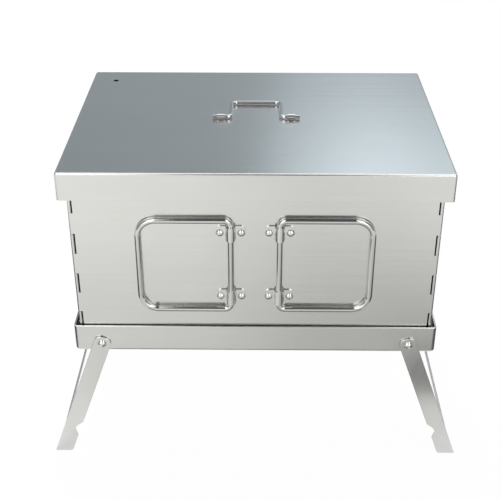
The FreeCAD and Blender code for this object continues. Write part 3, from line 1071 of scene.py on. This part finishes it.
@dataclass
class Studio:
    """White floor and background, soft lamps, cards for the reflections, and the camera."""

    floor_half: float = 6.0
    white: float = 1.0
    world_light: float = 0.45
    floor_tone: float = 0.92
    floor_seen_white: float = 0.97
    floor_mirrored_white: float = 0.6
    camera_place: Place = (0.00462, -0.96915, 0.74787)
    camera_pitch: float = math.radians(30.269)
    camera_yaw: float = math.radians(0.668)
    camera_roll: float = math.radians(-0.031)
    lens: float = 70.193
    sensor: float = 36.0
    lamps: tuple[SoftLamp, ...] = (
        SoftLamp("soft_box_left", place=(-0.85, -0.95, 1.05), size=0.5, power=4.0),
        SoftLamp("soft_box_right", place=(0.85, -0.95, 1.05), size=0.5, power=4.0),
        SoftLamp("soft_box_above", place=(0.0, 0.9, 1.9), size=0.8, power=9.0),
        SoftLamp("key_behind", place=(-0.3, 1.7, 1.25), size=0.5, power=24.0),
    )

    def build(self) -> None:
        """Build the whole studio."""
        bpy.context.scene.view_settings.view_transform = "Standard"
        self._world()
        self._floor()
        for card in self._cards():
            card.build()
        for lamp in self.lamps:
            lamp.build()
        self._camera()

    def _world(self) -> None:
        """Plain white world, dimmer as a light than as a background."""
        world = bpy.data.worlds.new("studio")
        bpy.context.scene.world = world
        world.use_nodes = True
        graph = NodeGraph(world.node_tree)
        path = graph.add("ShaderNodeLightPath")
        seen = graph.maths("MAXIMUM", path.outputs["Is Camera Ray"], path.outputs["Is Glossy Ray"])
        seen = graph.maths("MAXIMUM", seen, path.outputs["Is Transmission Ray"])
        chosen = graph.add("ShaderNodeMixShader")
        graph.link(seen, chosen.inputs["Fac"])
        for index, strength in ((1, self.world_light), (2, self.white)):
            light = graph.add("ShaderNodeBackground")
            light.inputs["Color"].default_value = (*WHITE, 1.0)
            light.inputs["Strength"].default_value = strength
            graph.link(light.outputs[0], chosen.inputs[index])
        graph.finish(chosen, "ShaderNodeOutputWorld")

    def _floor(self) -> None:
        """White floor that keeps a trace of the shadow."""
        deselect_all()
        bpy.ops.mesh.primitive_plane_add(size=2.0 * self.floor_half)
        floor = bpy.context.object
        floor.name = "floor"
        made, graph = new_material("white_floor")
        matt = graph.add("ShaderNodeBsdfDiffuse")
        matt.inputs["Color"].default_value = (*grey(self.floor_tone), 1.0)
        glow = graph.add("ShaderNodeEmission")
        glow.inputs["Color"].default_value = (*grey(self.white), 1.0)
        path = graph.add("ShaderNodeLightPath")
        chosen = graph.add("ShaderNodeMixShader")
        seen = graph.maths("MULTIPLY", path.outputs["Is Camera Ray"], self.floor_seen_white)
        mirrored = graph.maths("MULTIPLY", path.outputs["Is Glossy Ray"], self.floor_mirrored_white)
        graph.link(graph.maths("MAXIMUM", seen, mirrored), chosen.inputs["Fac"])
        graph.link(matt.outputs[0], chosen.inputs[1])
        graph.link(glow.outputs[0], chosen.inputs[2])
        graph.finish(chosen)
        floor.data.materials.append(made)

    @staticmethod
    def _cards() -> list[StudioCard]:
        """Cards that give the metal its darker and lighter sides, and paint the smoker's shadow on the
        floor into its reflections.

        Returns:
            The cards. The backdrop shows in the lid, the front floor in the upright sheets, and
            the rest in the wires, bends and rivet heads.
        """
        backdrop = (
            ToneRow(
                at=-0.24,
                stops=((-0.6, 0.36), (0.0, 0.39), (0.13, 0.51), (0.25, 0.53), (0.45, 0.42), (1.0, 0.4)),
                tint=COOL,
            ),
            ToneRow(
                at=0.03,
                stops=((-0.6, 0.3), (-0.03, 0.32), (0.1, 0.83), (0.27, 1.16), (0.5, 0.93), (1.0, 0.7)),
                tint=COLD,
            ),
        )
        # Painted shadow: the floor card is darker close in front of the smoker and on its right, where
        # the smoker's shadow falls from the lamp behind it. The upright sheets mirror it.
        front_floor_shadow = (
            ToneRow(
                at=-0.03,
                stops=((-0.35, 1.04), (-0.12, 0.97), (0.0, 0.88), (0.1, 0.8), (0.2, 0.87), (0.4, 0.97)),
                tint=WARM,
            ),
            ToneRow(
                at=0.375,
                stops=((-0.3, 0.8), (-0.1, 0.78), (0.0, 0.66), (0.06, 0.57), (0.2, 0.52), (0.4, 0.58)),
                tint=WARM,
            ),
            ToneRow(at=0.52, stops=((-0.3, 0.92), (0.3, 0.8)), tint=WARM),
        )
        overhead_rear = (ToneRow(-0.2, ((0.0, 1.0),)), ToneRow(0.1, ((0.0, 2.4),)))
        dark = plain(0.1)
        overhead = plain(1.6)
        soft_box = plain(2.2)
        return [
            StudioCard("backdrop", (0.0, 1.25, 1.0), (3.4, 1.9), backdrop, UPRIGHT),
            StudioCard("front_floor_shadow_card", (0.0, -0.72, 0.002), (2.4, 1.1), front_floor_shadow),
            # Painted shadow: a dark patch on the floor by the right leg, standing in for the smoker's
            # shadow there, as the leg mirrors it.
            StudioCard("painted_shadow_by_right_leg", (0.235, -0.28, 0.004), (0.1, 0.08), plain(0.2)),
            # Painted shadow: the smoker's shadow on the floor just in front of it, as the wires and
            # rivet heads mirror it.
            StudioCard("painted_shadow_floor_middle", (0.0, -0.215, 0.004), (0.36, 0.11), plain(0.08)),
            StudioCard("dark_floor_left", (-0.525, 0.12, 0.003), (0.39, 0.96), dark),
            StudioCard("dark_floor_right", (0.6, 0.12, 0.003), (0.64, 0.96), dark),
            StudioCard("dark_behind_left", (-0.265, 0.235, 0.003), (0.13, 0.27), dark),
            StudioCard("dark_behind_right", (0.24, 0.25, 0.003), (0.08, 0.4), dark),
            StudioCard("stand_on_floor", (0.0, -1.75, 0.004), (0.24, 0.36), plain(0.03)),
            StudioCard("dark_in_front", (0.06, -1.7, 1.45), (0.72, 1.46), dark, UPRIGHT),
            StudioCard("dark_overhead", (0.06, -1.0, 2.1), (0.72, 1.5), plain(0.12)),
            StudioCard("soft_box_card_left", (-1.04, -1.55, 1.2), (1.34, 1.5), soft_box, UPRIGHT),
            StudioCard("soft_box_card_right", (1.12, -1.55, 1.2), (1.3, 1.5), soft_box, UPRIGHT),
            StudioCard("overhead_card_left", (-1.1, -1.0, 2.1), (1.6, 1.5), overhead),
            StudioCard("overhead_card_right", (1.22, -1.0, 2.1), (1.56, 1.5), overhead),
            StudioCard("overhead_card_rear", (0.05, 0.7, 2.1), (3.9, 1.9), overhead_rear),
            StudioCard("card_left", (-1.8, -0.3, 1.1), (2.6, 1.9), plain(0.38), UPRIGHT_ALONG_Y),
            StudioCard("card_right", (1.8, -0.3, 1.1), (2.6, 1.9), plain(0.3), UPRIGHT_ALONG_Y),
        ]

    def _camera(self) -> None:
        """Camera at the photograph's viewing angle."""
        data = bpy.data.cameras.new("camera")
        data.lens = self.lens
        data.sensor_width = self.sensor
        camera = bpy.data.objects.new("camera", data)
        bpy.context.scene.collection.objects.link(camera)
        yaw = Matrix.Rotation(self.camera_yaw, 4, "Z")
        pitch = Matrix.Rotation(QUARTER_TURN - self.camera_pitch, 4, "X")
        roll = Matrix.Rotation(self.camera_roll, 4, "Z")
        camera.matrix_world = Matrix.Translation(self.camera_place) @ yaw @ pitch @ roll
        bpy.context.scene.camera = camera


def main() -> None:
    """Dress the smoker, model its welds and build its studio."""
    logging.basicConfig(level=logging.INFO, format="%(levelname)s %(message)s")
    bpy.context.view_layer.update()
    shop = Shop()
    assemblies = [
        Tray(),
        LegPair(Side.LEFT),
        LegPair(Side.RIGHT),
        Rivets(),
        Hood(),
        WireLoop(Side.LEFT),
        WireLoop(Side.RIGHT),
        Lid(),
        Rack(Level.LOWER),
        Rack(Level.UPPER),
        Pans(),
    ]
    for assembly in assemblies:
        assembly.build(shop)
    Studio().build()


if __name__ == "__main__":
    main()
